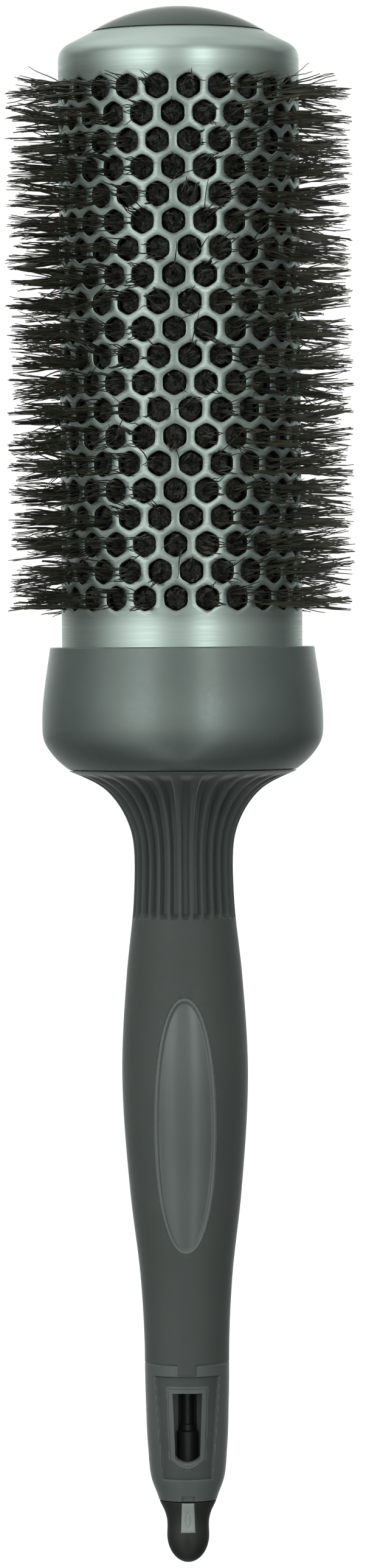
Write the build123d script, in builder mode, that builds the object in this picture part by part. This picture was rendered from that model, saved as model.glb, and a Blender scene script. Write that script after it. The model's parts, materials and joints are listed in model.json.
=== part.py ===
"""Round barrel brush with a vented metal barrel, a soft grip and a pull-out sectioning pick.

Heights are measured along the brush's axis from the widest point of the grip, +Z towards the
barrel's dome. The front, with the oval inlay and the window, faces -Y. Sizes are millimetres.
"""

from build123d import *
from math import cos, radians, sin, tan
import os

os.makedirs("parts", exist_ok=True)

# --- driving dimensions ---------------------------------------------------------------------

# common clearances and the reach of cuts made from the front
END_GAP = 1.0
FRONT_REACH = 10.0

# barrel tube: a perforated cylinder whose top is spun in round the end cap
BARREL_R = 21.5
BARREL_WALL = 0.85
BARREL_FOOT_Z = 58.0
SHOULDER_Z = 181.4
SHOULDER_SLOPE = 27.0
SHOULDER_ROUND = 4.55
MOUTH_R = 15.2
VENT_PLANE_R = 18.0

# hexagonal vents and the tufts that stand out through them
ROWS = 20
VENTS_PER_ROW = 24
VENT_FLATS = 4.1
VENT_TURN = 4.7
TOP_ROW_Z = 173.4
BOTTOM_ROW_Z = 83.5
BRISTLE_R = 31.3
TUFT_HEIGHT = 1.5
TUFT_ROOT_WIDTH = 0.45
TUFT_VENT_WIDTH = 1.5
TUFT_TIP_WIDTH = 1.9

# twisted pair of wires on the axis
WIRE_R = 1.08
WIRE_ORBIT_R = 1.1
WIRE_PITCH = 10.0
WIRE_FOOT_Z = 61.0
WIRE_TOP_Z = 182.5
WIRE_BORE_R = 2.25
TUFT_ROOT_R = 2.6

# end cap
DOME_R = 29.5
DOME_TOP_Z = 189.1
CAP_LIP_R = 15.4
CAP_LIP = 0.15
CAP_WALL = 1.8
CAP_CROWN = 2.4
CAP_SKIRT_R = 15.1
CAP_SKIRT_Z = 181.5
CAP_BOSS_R = 4.5
CAP_BOSS_Z = 176.6

# collar and the hub inside the barrel's foot
COLLAR_FLOOR_Z = 53.0
COLLAR_TOP_Z = 74.9
COLLAR_TOP_R = 23.7
COLLAR_BEVEL = 0.4
SPIGOT_R = 10.0
SPIGOT_TOP_Z = 66.0
HUB_TOP_Z = 70.0
HUB_BOSS_R = 5.0
HUB_BOSS_Z = 77.0

# grip sleeve
SLEEVE_FOOT_Z = -53.0
SLEEVE_TOP_Z = 52.8
GRIP_R = 11.27
FLUTES = 28
FLUTE_FOOT_Z = 26.9
FLUTE_R = 0.45
FLUTE_START = -88.0
FLUTE_FOOT = (9.25, FLUTE_FOOT_Z)
FLUTE_END = (18.6, 50.9)

# oval inlay
OVAL_WIDTH = 11.3
OVAL_LENGTH = 45.8
OVAL_Z = -10.3
OVAL_FLOOR_Y = -9.0
OVAL_TILT = 3.0
OVAL_SINK = 0.15
OVAL_GAP = 0.1

# handle core and end ferrule
CORE_R = 6.0
CORE_BELLY_R = 8.3
CORE_NECK_R = 6.8
CORE_FLANGE_R = 15.0
FERRULE_FOOT_Z = -77.7
TENON_R = 4.2
TENON_TOP_Z = -38.0
PANEL_TOP_Z = -55.2
PANEL_FOOT_Z = -73.6
PANEL_TOP_WIDTH = 11.6
PANEL_FOOT_WIDTH = 8.9
PANEL_DEPTH = 0.4
WINDOW_TOP_Z = -58.1
WINDOW_FOOT_Z = -70.9
WINDOW_WIDTH = 5.35
WINDOW_FOOT_WIDTH = 4.5
WINDOW_BOW = 0.9
WINDOW_LIP = 0.85
WINDOW_FLOOR = -1.0
TONGUE_WIDTH = 3.6
TONGUE_FLOOR = 6.3
NOTCH_WIDTH = 2.3
NOTCH_HEIGHT = 1.0
NOTCH_FLOOR = 4.7

# pick
KNOB_FOOT_Z = -89.1
KNOB_R = 3.78
KNOB_ROUND = 5.0
KNOB_WAIST_R = 3.86
KNOB_WAIST_Z = -81.0
KNOB_TOP_R = 5.1
KNOB_TOP_Z = -77.85
STEM_R = 1.9
STEM_TOP_Z = -65.5
BEAD_R = 1.35
BEAD_HEIGHT = 1.2
PIN_R = 1.05
PIN_TOP_Z = -10.0
BORE_R = 1.97
BORE_TOP_Z = -8.0
TAB_TOP_WIDTH = 2.2
TAB_FOOT_WIDTH = 2.6
TAB_TOP_Z = -78.0
TAB_FOOT_Z = -83.4
TAB_FLOOR = 3.2
TAB_PROUD = 0.12

# --- outlines in the (radius, height) plane -------------------------------------------------

FERRULE_OUTLINE = [(5.2, -77.7), (6.5, -74.0), (7.1, -68.5), (7.45, -60.0), (7.57, -53.0)]
GRIP_OUTLINE = [
    (7.57, SLEEVE_FOOT_Z),
    (8.22, -38.1),
    (9.96, -22.8),
    (GRIP_R, 0.0),
    (10.34, 16.4),
    (9.04, 29.4),
    (8.82, 36.0),
]
FLARE_OUTLINE = [(8.82, 36.0), (9.58, 42.5), (13.5, 49.0), (20.4, SLEEVE_TOP_Z)]
CORE_OUTLINE = [
    (CORE_R, SLEEVE_FOOT_Z),
    (CORE_R, -33.0),
    (CORE_BELLY_R, -10.0),
    (CORE_BELLY_R, 10.0),
    (CORE_NECK_R, 28.0),
    (CORE_NECK_R, 43.0),
    (8.4, 49.0),
    (CORE_FLANGE_R, 51.8),
]
SHOULDER_RISE = tan(radians(SHOULDER_SLOPE))
ROW_PITCH = (TOP_ROW_Z - BOTTOM_ROW_Z) / (ROWS - 1)
VENT_STEP = 360 / VENTS_PER_ROW


def ferrule_side(inset=0.0):
    """The ferrule's side line, moved towards the axis by inset."""
    return Spline(*[(r - inset, z) for r, z in FERRULE_OUTLINE], tangents=[(0.25, 1), (0, 1)])


def grip_side(inset=0.0):
    """The sleeve's side line below the flare, moved towards the axis by inset."""
    return Spline(*[(r - inset, z) for r, z in GRIP_OUTLINE], tangents=[(0, 1), (0, 1)])


def flare_side():
    """The sleeve's side line from its neck out to its rim."""
    return Spline(*FLARE_OUTLINE, tangents=[(0, 1), (1, 0.45)])


def shoulder_point(r, inset=0.0):
    """The point of the barrel's sloping top at radius r, moved below its surface by inset."""
    drop = inset / cos(radians(SHOULDER_SLOPE))
    return (r, SHOULDER_Z + (BARREL_R - r) * SHOULDER_RISE - drop)


def row_z(row):
    """Height of a row of vents, counted from 1 at the dome."""
    return TOP_ROW_Z - (row - 1) * ROW_PITCH


def row_start(row):
    """Angle of a row's first vent; every other row is shifted by half a step."""
    return VENT_TURN + VENT_STEP / 2 * ((row + 1) % 2)


# --- barrel tube ----------------------------------------------------------------------------

INNER_R = BARREL_R - BARREL_WALL

with BuildPart() as barrel_tube:
    with BuildSketch(Plane.XZ):
        with BuildLine():
            outer = FilletPolyline(
                (BARREL_R, BARREL_FOOT_Z),
                (BARREL_R, SHOULDER_Z),
                shoulder_point(MOUTH_R),
                radius=SHOULDER_ROUND,
            )
            inner = FilletPolyline(
                (INNER_R, BARREL_FOOT_Z),
                (INNER_R, shoulder_point(INNER_R, BARREL_WALL)[1]),
                shoulder_point(MOUTH_R, BARREL_WALL),
                radius=SHOULDER_ROUND - BARREL_WALL,
            )
            Line(outer @ 0, inner @ 0)
            Line(outer @ 1, inner @ 1)
        make_face()
    revolve(axis=Axis.Z)
    vent_planes = []
    for row in range(1, ROWS + 1):
        for vent in range(VENTS_PER_ROW):
            angle = radians(row_start(row) + vent * VENT_STEP)
            outward = Vector(cos(angle), sin(angle), 0)
            centre = outward * VENT_PLANE_R + Vector(0, 0, row_z(row))
            vent_planes.append(Plane(origin=centre, x_dir=(0, 0, 1), z_dir=outward))
    with BuildSketch(*vent_planes):
        RegularPolygon(radius=VENT_FLATS / 2, side_count=6, major_radius=False)
    extrude(amount=BARREL_R + END_GAP - VENT_PLANE_R, mode=Mode.SUBTRACT)
barrel_tube.part.label = "barrel_tube"
export_step(barrel_tube.part, "parts/barrel_tube.step")

# --- end cap: dome, lip, skirt and the boss that holds the wires' top ends -------------------

LIP_Z = shoulder_point(MOUTH_R)[1]
DOME_FOOT_Z = LIP_Z + CAP_LIP

with BuildPart() as end_cap:
    with BuildSketch(Plane.XZ):
        with BuildLine():
            dome = RadiusArc((0, DOME_TOP_Z), (CAP_LIP_R, DOME_FOOT_Z), DOME_R)
            Polyline(
                dome @ 1,
                (CAP_LIP_R, LIP_Z),
                (CAP_SKIRT_R, LIP_Z),
                (CAP_SKIRT_R, CAP_SKIRT_Z),
                (CAP_SKIRT_R - CAP_WALL, CAP_SKIRT_Z),
                (CAP_SKIRT_R - CAP_WALL, LIP_Z),
                (CAP_BOSS_R, DOME_TOP_Z - CAP_CROWN),
                (CAP_BOSS_R, CAP_BOSS_Z),
                (WIRE_BORE_R, CAP_BOSS_Z),
                (WIRE_BORE_R, WIRE_TOP_Z + END_GAP),
                (0, WIRE_TOP_Z + END_GAP),
                (0, DOME_TOP_Z),
            )
        make_face()
    revolve(axis=Axis.Z)
end_cap.part.label = "end_cap"
export_step(end_cap.part, "parts/end_cap.step")

# --- twisted wires --------------------------------------------------------------------------

for name, turn in (("core_wire_a", 0), ("core_wire_b", 180)):
    with BuildPart() as core_wire:
        with BuildLine(Plane.XY.offset(WIRE_FOOT_Z)):
            helix = Helix(WIRE_PITCH, WIRE_TOP_Z - WIRE_FOOT_Z, WIRE_ORBIT_R)
        with BuildSketch(Plane(origin=helix @ 0, z_dir=helix % 0)):
            Circle(WIRE_R)
        sweep(is_frenet=True)
    wire = core_wire.part.rotate(Axis.Z, turn)
    wire.label = name
    export_step(wire, f"parts/{name}.step")

# --- bristles: one tapered tuft through every vent --------------------------------------------

for row in range(1, ROWS + 1):
    with BuildPart() as bristle_row:
        with BuildSketch(Plane.XY.offset(row_z(row) - TUFT_HEIGHT / 2)):
            with PolarLocations(0, VENTS_PER_ROW, start_angle=row_start(row)):
                Polygon(
                    (TUFT_ROOT_R, -TUFT_ROOT_WIDTH / 2),
                    (BARREL_R, -TUFT_VENT_WIDTH / 2),
                    (BRISTLE_R, -TUFT_TIP_WIDTH / 2),
                    (BRISTLE_R, TUFT_TIP_WIDTH / 2),
                    (BARREL_R, TUFT_VENT_WIDTH / 2),
                    (TUFT_ROOT_R, TUFT_ROOT_WIDTH / 2),
                    align=None,
                )
        extrude(amount=TUFT_HEIGHT)
    bristle_row.part.label = f"bristle_row_{row:02d}"
    export_step(bristle_row.part, f"parts/bristle_row_{row:02d}.step")

# --- hub: plugs the barrel's foot, sits on the core's spigot and grips the wires ---------------

with BuildPart() as barrel_hub:
    with BuildSketch(Plane.XZ):
        with BuildLine():
            Polyline(
                (SPIGOT_R, BARREL_FOOT_Z),
                (INNER_R, BARREL_FOOT_Z),
                (INNER_R, HUB_TOP_Z),
                (HUB_BOSS_R, HUB_TOP_Z),
                (HUB_BOSS_R, HUB_BOSS_Z),
                (WIRE_BORE_R, HUB_BOSS_Z),
                (WIRE_BORE_R, SPIGOT_TOP_Z),
                (SPIGOT_R, SPIGOT_TOP_Z),
                close=True,
            )
        make_face()
    revolve(axis=Axis.Z)
barrel_hub.part.label = "barrel_hub"
export_step(barrel_hub.part, "parts/barrel_hub.step")

# --- collar: a cup round the barrel's foot ----------------------------------------------------

with BuildPart() as collar:
    with BuildSketch(Plane.XZ):
        with BuildLine():
            bowl = Spline(
                (20.6, COLLAR_FLOOR_Z),
                (23.2, 55.6),
                (24.8, 58.2),
                (25.15, 61.4),
                tangents=[(1, 0.75), (0, 1)],
            )
            rim = (COLLAR_TOP_R, COLLAR_TOP_Z - COLLAR_BEVEL)
            side = Spline(bowl @ 1, rim, tangents=[(0, 1), (-0.14, 1)])
            Polyline(
                side @ 1,
                (COLLAR_TOP_R - COLLAR_BEVEL, COLLAR_TOP_Z),
                (BARREL_R + COLLAR_BEVEL, COLLAR_TOP_Z),
                (BARREL_R, COLLAR_TOP_Z - COLLAR_BEVEL),
                (BARREL_R, BARREL_FOOT_Z),
                (SPIGOT_R, BARREL_FOOT_Z),
                (SPIGOT_R, COLLAR_FLOOR_Z),
                bowl @ 0,
            )
        make_face()
    revolve(axis=Axis.Z)
collar.part.label = "collar"
export_step(collar.part, "parts/collar.step")

# --- handle core: hard tube under the grip, bored for the pick and for the wires --------------

with BuildPart() as handle_core:
    with BuildSketch(Plane.XZ):
        with BuildLine():
            Polyline(
                (TENON_R, SLEEVE_FOOT_Z),
                *CORE_OUTLINE,
                (CORE_FLANGE_R, COLLAR_FLOOR_Z),
                (SPIGOT_R, COLLAR_FLOOR_Z),
                (SPIGOT_R, SPIGOT_TOP_Z),
                (WIRE_BORE_R, SPIGOT_TOP_Z),
                (WIRE_BORE_R, WIRE_FOOT_Z - END_GAP),
                (0, WIRE_FOOT_Z - END_GAP),
                (0, BORE_TOP_Z),
                (BORE_R, BORE_TOP_Z),
                (BORE_R, TENON_TOP_Z),
                (TENON_R, TENON_TOP_Z),
                close=True,
            )
        make_face()
    revolve(axis=Axis.Z)
handle_core.part.label = "handle_core"
export_step(handle_core.part, "parts/handle_core.step")

# --- grip sleeve: soft skin with a fluted flare, an oval recess and a small tongue -------------

OVAL_PLANE = Plane(
    origin=(0, OVAL_FLOOR_Y, 0),
    x_dir=(1, 0, 0),
    z_dir=(0, -cos(radians(OVAL_TILT)), -sin(radians(OVAL_TILT))),
)

with BuildPart() as flute_cutter:
    with BuildLine(Plane.XZ):
        flute_path = Spline(
            FLUTE_FOOT,
            *GRIP_OUTLINE[-2:],
            *FLARE_OUTLINE[1:-1],
            FLUTE_END,
            tangents=[(-0.08, 1), (1, 0.2)],
        )
    with BuildSketch(Plane(origin=flute_path @ 0, z_dir=flute_path % 0)):
        Circle(FLUTE_R)
    sweep()

with BuildPart() as tongue:
    with BuildSketch(Plane.XZ):
        with BuildLine():
            side = ferrule_side()
            Polyline(side @ 1, (0, SLEEVE_FOOT_Z), (0, FERRULE_FOOT_Z), side @ 0)
        make_face()
    revolve(axis=Axis.Z)
    with BuildSketch(Plane.XZ.offset(TONGUE_FLOOR)):
        with Locations((0, (PANEL_TOP_Z + SLEEVE_FOOT_Z) / 2)):
            Rectangle(TONGUE_WIDTH, SLEEVE_FOOT_Z - PANEL_TOP_Z)
    extrude(amount=FRONT_REACH, mode=Mode.INTERSECT)

with BuildPart() as grip_sleeve:
    with BuildSketch(Plane.XZ):
        with BuildLine():
            grip_side()
            flare_side()
            Polyline(
                FLARE_OUTLINE[-1],
                (CORE_FLANGE_R, SLEEVE_TOP_Z),
                *reversed(CORE_OUTLINE),
                GRIP_OUTLINE[0],
            )
        make_face()
    revolve(axis=Axis.Z)
    with PolarLocations(0, FLUTES, start_angle=FLUTE_START):
        add(flute_cutter.part, mode=Mode.SUBTRACT)
    with BuildSketch(OVAL_PLANE):
        with Locations((0, OVAL_Z)):
            Ellipse(OVAL_WIDTH / 2 + OVAL_GAP, OVAL_LENGTH / 2 + OVAL_GAP)
    extrude(amount=FRONT_REACH, mode=Mode.SUBTRACT)
    add(tongue.part)
grip_sleeve.part.label = "grip_sleeve"
export_step(grip_sleeve.part, "parts/grip_sleeve.step")

# --- oval inlay: a hard pad that follows the grip's belly ---------------------------------------

with BuildPart() as oval_inlay:
    with BuildSketch(Plane.XZ):
        with BuildLine():
            side = grip_side(OVAL_SINK)
            Polyline(side @ 1, (0, GRIP_OUTLINE[-1][1]), (0, SLEEVE_FOOT_Z), side @ 0)
        make_face()
    revolve(axis=Axis.Z)
    with BuildSketch(OVAL_PLANE):
        with Locations((0, OVAL_Z)):
            Ellipse(OVAL_WIDTH / 2, OVAL_LENGTH / 2)
    extrude(amount=FRONT_REACH, mode=Mode.INTERSECT)
oval_inlay.part.label = "oval_inlay"
export_step(oval_inlay.part, "parts/oval_inlay.step")

# --- end ferrule: tenon, pick bore, window with a raised lip in a sunk panel --------------------

WINDOW_CORNER_Z = WINDOW_FOOT_Z + WINDOW_BOW

with BuildSketch(Plane.XZ) as window_outline:
    with BuildLine():
        left = Line((-WINDOW_WIDTH / 2, WINDOW_TOP_Z), (-WINDOW_FOOT_WIDTH / 2, WINDOW_CORNER_Z))
        right = Line((WINDOW_WIDTH / 2, WINDOW_TOP_Z), (WINDOW_FOOT_WIDTH / 2, WINDOW_CORNER_Z))
        Line(left @ 0, right @ 0)
        ThreePointArc(left @ 1, (0, WINDOW_FOOT_Z), right @ 1)
    make_face()

with BuildPart() as panel_cutter:
    with BuildSketch(Plane.XZ):
        with BuildLine():
            side = ferrule_side(PANEL_DEPTH)
            Polyline(side @ 1, (FRONT_REACH, SLEEVE_FOOT_Z), (FRONT_REACH, FERRULE_FOOT_Z), side @ 0)
        make_face()
    revolve(axis=Axis.Z)
    with BuildSketch(Plane.XZ):
        Polygon(
            (-PANEL_TOP_WIDTH / 2, PANEL_TOP_Z),
            (-PANEL_FOOT_WIDTH / 2, PANEL_FOOT_Z),
            (PANEL_FOOT_WIDTH / 2, PANEL_FOOT_Z),
            (PANEL_TOP_WIDTH / 2, PANEL_TOP_Z),
            align=None,
        )
        add(offset(window_outline.sketch, WINDOW_LIP, mode=Mode.PRIVATE), mode=Mode.SUBTRACT)
    extrude(amount=FRONT_REACH, mode=Mode.INTERSECT)

with BuildPart() as end_ferrule:
    with BuildSketch(Plane.XZ):
        with BuildLine():
            side = ferrule_side()
            Polyline(
                side @ 1,
                (TENON_R, SLEEVE_FOOT_Z),
                (TENON_R, TENON_TOP_Z),
                (BORE_R, TENON_TOP_Z),
                (BORE_R, FERRULE_FOOT_Z),
                side @ 0,
            )
        make_face()
    revolve(axis=Axis.Z)
    add(panel_cutter.part, mode=Mode.SUBTRACT)
    with BuildSketch(Plane.XZ.offset(WINDOW_FLOOR)):
        add(window_outline.sketch)
    extrude(amount=FRONT_REACH - WINDOW_FLOOR, mode=Mode.SUBTRACT)
    with BuildSketch(Plane.XZ.offset(TONGUE_FLOOR)):
        with Locations((0, (PANEL_TOP_Z + SLEEVE_FOOT_Z) / 2)):
            Rectangle(TONGUE_WIDTH, SLEEVE_FOOT_Z - PANEL_TOP_Z)
    extrude(amount=FRONT_REACH, mode=Mode.SUBTRACT)
    with BuildSketch(Plane.XZ.offset(NOTCH_FLOOR)):
        with Locations((0, FERRULE_FOOT_Z + NOTCH_HEIGHT / 2)):
            Rectangle(NOTCH_WIDTH, NOTCH_HEIGHT)
    extrude(amount=FRONT_REACH, mode=Mode.SUBTRACT)
end_ferrule.part.label = "end_ferrule"
export_step(end_ferrule.part, "parts/end_ferrule.step")

# --- pick: knob, stem and pin in one piece, with a tab let into the knob's front ----------------


def knob_side(outset=0.0):
    """The knob's side line from its end up to the rim, moved outwards by outset."""
    centre = (0, KNOB_FOOT_Z + KNOB_ROUND)
    end = EllipticalCenterArc(centre, KNOB_R + outset, KNOB_ROUND, start_angle=270, arc_size=90)
    waist = Spline(end @ 1, (KNOB_WAIST_R + outset, KNOB_WAIST_Z), tangents=[(0, 1), (0.2, 1)])
    Line(waist @ 1, (KNOB_TOP_R + outset, KNOB_TOP_Z))


def tab_outline():
    """The tab's trapezoid, seen from the front."""
    Polygon(
        (-TAB_FOOT_WIDTH / 2, TAB_FOOT_Z),
        (TAB_FOOT_WIDTH / 2, TAB_FOOT_Z),
        (TAB_TOP_WIDTH / 2, TAB_TOP_Z),
        (-TAB_TOP_WIDTH / 2, TAB_TOP_Z),
        align=None,
    )


with BuildPart() as pick:
    with BuildSketch(Plane.XZ):
        with BuildLine():
            knob_side()
            Polyline(
                (KNOB_TOP_R, KNOB_TOP_Z),
                (STEM_R, KNOB_TOP_Z),
                (STEM_R, STEM_TOP_Z),
                (BEAD_R, STEM_TOP_Z),
                (BEAD_R, STEM_TOP_Z + BEAD_HEIGHT),
                (PIN_R, STEM_TOP_Z + BEAD_HEIGHT),
                (PIN_R, PIN_TOP_Z - PIN_R),
            )
            RadiusArc((PIN_R, PIN_TOP_Z - PIN_R), (0, PIN_TOP_Z), -PIN_R)
            Line((0, PIN_TOP_Z), (0, KNOB_FOOT_Z))
        make_face()
    revolve(axis=Axis.Z)
    with BuildSketch(Plane.XZ.offset(TAB_FLOOR)):
        tab_outline()
    extrude(amount=FRONT_REACH, mode=Mode.SUBTRACT)
pick.part.label = "pick"
export_step(pick.part, "parts/pick.step")

with BuildPart() as pick_tab:
    with BuildSketch(Plane.XZ):
        with BuildLine():
            knob_side(TAB_PROUD)
            Polyline(
                (KNOB_TOP_R + TAB_PROUD, KNOB_TOP_Z),
                (0, KNOB_TOP_Z),
                (0, KNOB_FOOT_Z),
            )
        make_face()
    revolve(axis=Axis.Z)
    with BuildSketch(Plane.XZ.offset(TAB_FLOOR)):
        tab_outline()
    extrude(amount=FRONT_REACH, mode=Mode.INTERSECT)
pick_tab.part.label = "pick_tab"
export_step(pick_tab.part, "parts/pick_tab.step")
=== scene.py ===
"""Looks of the round barrel brush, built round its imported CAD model.

Lengths are millimetres until a mesh is made. The brush's axis is Z and its front faces -Y.
"""

import bpy
import json
import math
import random
from mathutils import Matrix, Vector

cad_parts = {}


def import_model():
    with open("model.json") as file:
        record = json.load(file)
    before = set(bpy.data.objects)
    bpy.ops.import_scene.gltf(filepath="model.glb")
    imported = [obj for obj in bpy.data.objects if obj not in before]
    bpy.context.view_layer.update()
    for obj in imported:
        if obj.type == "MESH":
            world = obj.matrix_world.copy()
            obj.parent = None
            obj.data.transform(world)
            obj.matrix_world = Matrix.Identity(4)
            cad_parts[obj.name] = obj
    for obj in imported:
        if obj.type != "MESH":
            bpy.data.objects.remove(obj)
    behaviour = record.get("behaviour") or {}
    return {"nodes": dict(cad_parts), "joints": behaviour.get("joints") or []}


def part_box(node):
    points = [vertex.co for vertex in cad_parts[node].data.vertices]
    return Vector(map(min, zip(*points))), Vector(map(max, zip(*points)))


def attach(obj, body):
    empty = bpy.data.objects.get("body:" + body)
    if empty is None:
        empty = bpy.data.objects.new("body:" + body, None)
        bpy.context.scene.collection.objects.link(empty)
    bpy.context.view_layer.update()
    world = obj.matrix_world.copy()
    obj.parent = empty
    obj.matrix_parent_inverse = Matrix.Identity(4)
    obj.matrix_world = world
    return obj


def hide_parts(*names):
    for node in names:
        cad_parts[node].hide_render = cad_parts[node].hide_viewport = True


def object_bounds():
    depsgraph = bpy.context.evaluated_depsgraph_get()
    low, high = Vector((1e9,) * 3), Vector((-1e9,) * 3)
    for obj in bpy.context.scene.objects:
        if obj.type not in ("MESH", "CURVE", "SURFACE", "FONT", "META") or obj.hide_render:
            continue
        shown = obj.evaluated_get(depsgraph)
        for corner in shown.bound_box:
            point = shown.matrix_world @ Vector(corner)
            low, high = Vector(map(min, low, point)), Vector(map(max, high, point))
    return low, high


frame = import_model()
cad_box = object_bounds()

MM = 0.001
SHARP = 35.0
ROWS = sorted(n for n in frame["nodes"] if n.startswith("bristle_row_"))


# --- frame and mesh helpers ---------------------------------------------------------------------


def span(node):
    """A CAD node's lowest and highest corner, in millimetres."""
    lo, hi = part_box(node)
    return lo / MM, hi / MM


def mesh_piece(name, points, faces, body, replaces=(), sharp=SHARP):
    """A smooth-shaded mesh from points in millimetres, riding on a body."""
    mesh = bpy.data.meshes.new(name)
    mesh.from_pydata([(x * MM, y * MM, z * MM) for x, y, z in points], [], faces)
    mesh.validate()
    mesh.shade_smooth()
    mesh.set_sharp_from_angle(angle=math.radians(sharp))
    piece = bpy.data.objects.new(name, mesh)
    bpy.context.scene.collection.objects.link(piece)
    if body:
        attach(piece, body)
    if replaces:
        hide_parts(*replaces)
    return piece


def polar(r, angle, z):
    """The point at radius r, angle in degrees from +X, and height z."""
    a = math.radians(angle)
    return (r * math.cos(a), r * math.sin(a), z)


def smooth_step(x, low, high):
    """0 at low, 1 at high, smooth between; low may be above high."""
    t = min(max((x - low) / (high - low), 0.0), 1.0)
    return t * t * (3 - 2 * t)


def arc_corner(before, corner, after, radius, steps=5):
    """Points of a rounded corner between two straight runs of an outline."""
    b, c, a = Vector(before), Vector(corner), Vector(after)
    u, v = (b - c).normalized(), (a - c).normalized()
    half = math.acos(max(-1.0, min(1.0, u.dot(v)))) / 2
    reach = min(radius / math.tan(half), 0.49 * (b - c).length, 0.49 * (a - c).length)
    start, end = c + u * reach, c + v * reach
    points = []
    for i in range(steps + 1):
        t = i / steps
        points.append(start * (1 - t) ** 2 + c * 2 * t * (1 - t) + end * t ** 2)
    return [(p.x, p.y) for p in points]


def rounded(outline):
    """An open outline of (r, z) or (r, z, corner radius) points with its corners rounded."""
    flat = [(p[0], p[1]) for p in outline]
    result = []
    for i, p in enumerate(outline):
        if len(p) == 3 and 0 < i < len(outline) - 1:
            result += arc_corner(flat[i - 1], flat[i], flat[i + 1], p[2])
        else:
            result.append(flat[i])
    return result


def curve_through(points, start_way, end_way, steps):
    """A smooth line through (r, z) points, leaving and arriving along the given ways."""
    p = [Vector(q) for q in points]
    ways = [Vector(start_way).normalized()]
    for i in range(1, len(p) - 1):
        before, after = p[i] - p[i - 1], p[i + 1] - p[i]
        ways.append((before / before.length ** 2 + after / after.length ** 2).normalized())
    ways.append(Vector(end_way).normalized())
    line = []
    for i in range(len(p) - 1):
        gap = (p[i + 1] - p[i]).length
        for k in range(steps):
            t = k / steps
            a = (2 * t ** 3 - 3 * t ** 2 + 1) * p[i] + (3 * t ** 2 - 2 * t ** 3) * p[i + 1]
            b = (t ** 3 - 2 * t ** 2 + t) * gap * ways[i] + (t ** 3 - t ** 2) * gap * ways[i + 1]
            line.append(tuple(a + b))
    line.append(tuple(p[-1]))
    return line


def lathe_data(outline, segments, closed=True, radius_at=None, turn=0.0):
    """Points and faces of an outline of (r, z) points turned about the axis.

    radius_at(r, z, angle, index) may move a point in or out. Points on the axis are single.
    """
    points, faces, rings = [], [], []
    for index, (r, z) in enumerate(outline):
        if r < 1e-6:
            rings.append([len(points)] * segments)
            points.append((0.0, 0.0, z))
            continue
        ring = []
        for k in range(segments):
            angle = turn + 360 * k / segments
            radius = radius_at(r, z, angle, index) if radius_at else r
            ring.append(len(points))
            points.append(polar(radius, angle, z))
        rings.append(ring)
    pairs = list(zip(rings, rings[1:]))
    if closed:
        pairs.append((rings[-1], rings[0]))
    for low, high in pairs:
        for k in range(segments):
            n = (k + 1) % segments
            face = []
            for v in (low[k], low[n], high[n], high[k]):
                if v not in face:
                    face.append(v)
            if len(face) > 2:
                faces.append(face)
    return points, faces


def lathe(name, outline, body, slot, replaces=(), segments=128, **options):
    """A turned piece from an outline."""
    points, faces = lathe_data(outline, segments, **options)
    return mesh_piece(name, points, faces, body, replaces)


def on_front(x, r, z):
    """The point of a turned surface's front that lies x to the side."""
    return (x, -math.sqrt(r * r - x * x), z)


def bent_plate(across, up, lifts, place):
    """Points and faces of a plate: an outer and an inner grid, joined round their edges.

    place(u, v, lift) gives the point at the shares u across and v up of the plate.
    """
    points = [
        place(i / across, j / up, lift)
        for lift in lifts for j in range(up + 1) for i in range(across + 1)
    ]
    faces = []
    width = across + 1
    layer = width * (up + 1)
    for j in range(up):
        for i in range(across):
            a = j * width + i
            faces.append((a, a + 1, a + 1 + width, a + width))
            faces.append((layer + a, layer + a + width, layer + a + width + 1, layer + a + 1))
    edge = list(range(width)) + [j * width + across for j in range(1, up + 1)]
    edge += [up * width + i for i in range(across - 1, -1, -1)]
    edge += [j * width for j in range(up - 1, 0, -1)]
    for a, b in zip(edge, edge[1:] + edge[:1]):
        faces.append((b, a, a + layer, b + layer))
    return points, faces


def cut(piece, cutter):
    """Takes the cutter's shape out of the piece and removes the cutter."""
    modifier = piece.modifiers.new("cut", "BOOLEAN")
    modifier.operation = "DIFFERENCE"
    modifier.solver = "EXACT"
    modifier.object = cutter
    graph = bpy.context.evaluated_depsgraph_get()
    result = bpy.data.meshes.new_from_object(piece.evaluated_get(graph))
    piece.modifiers.clear()
    piece.data = result
    bpy.data.objects.remove(cutter)
    result.set_sharp_from_angle(angle=math.radians(SHARP))


def cut_prism(piece, edge, front, back):
    """Cuts an (x, z) outline into the piece from front to back along Y."""
    count = len(edge)
    points = [(x, front, z) for x, z in edge] + [(x, back, z) for x, z in edge]
    faces = [tuple(range(count)), tuple(range(2 * count - 1, count - 1, -1))]
    faces += [(i, i + count, (i + 1) % count + count, (i + 1) % count) for i in range(count)]
    cutter = mesh_piece("prism_cutter", points, faces, None)
    if signed_volume(cutter.data) < 0:
        cutter.data.flip_normals()
    cut(piece, cutter)


def signed_volume(mesh):
    """Six times a closed mesh's volume, negative where its faces look inwards."""
    total = 0.0
    for face in mesh.polygons:
        corners = [mesh.vertices[v].co for v in face.vertices]
        for a, b in zip(corners[1:], corners[2:]):
            total += corners[0].dot(a.cross(b))
    return total


# --- materials ----------------------------------------------------------------------------------


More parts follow.
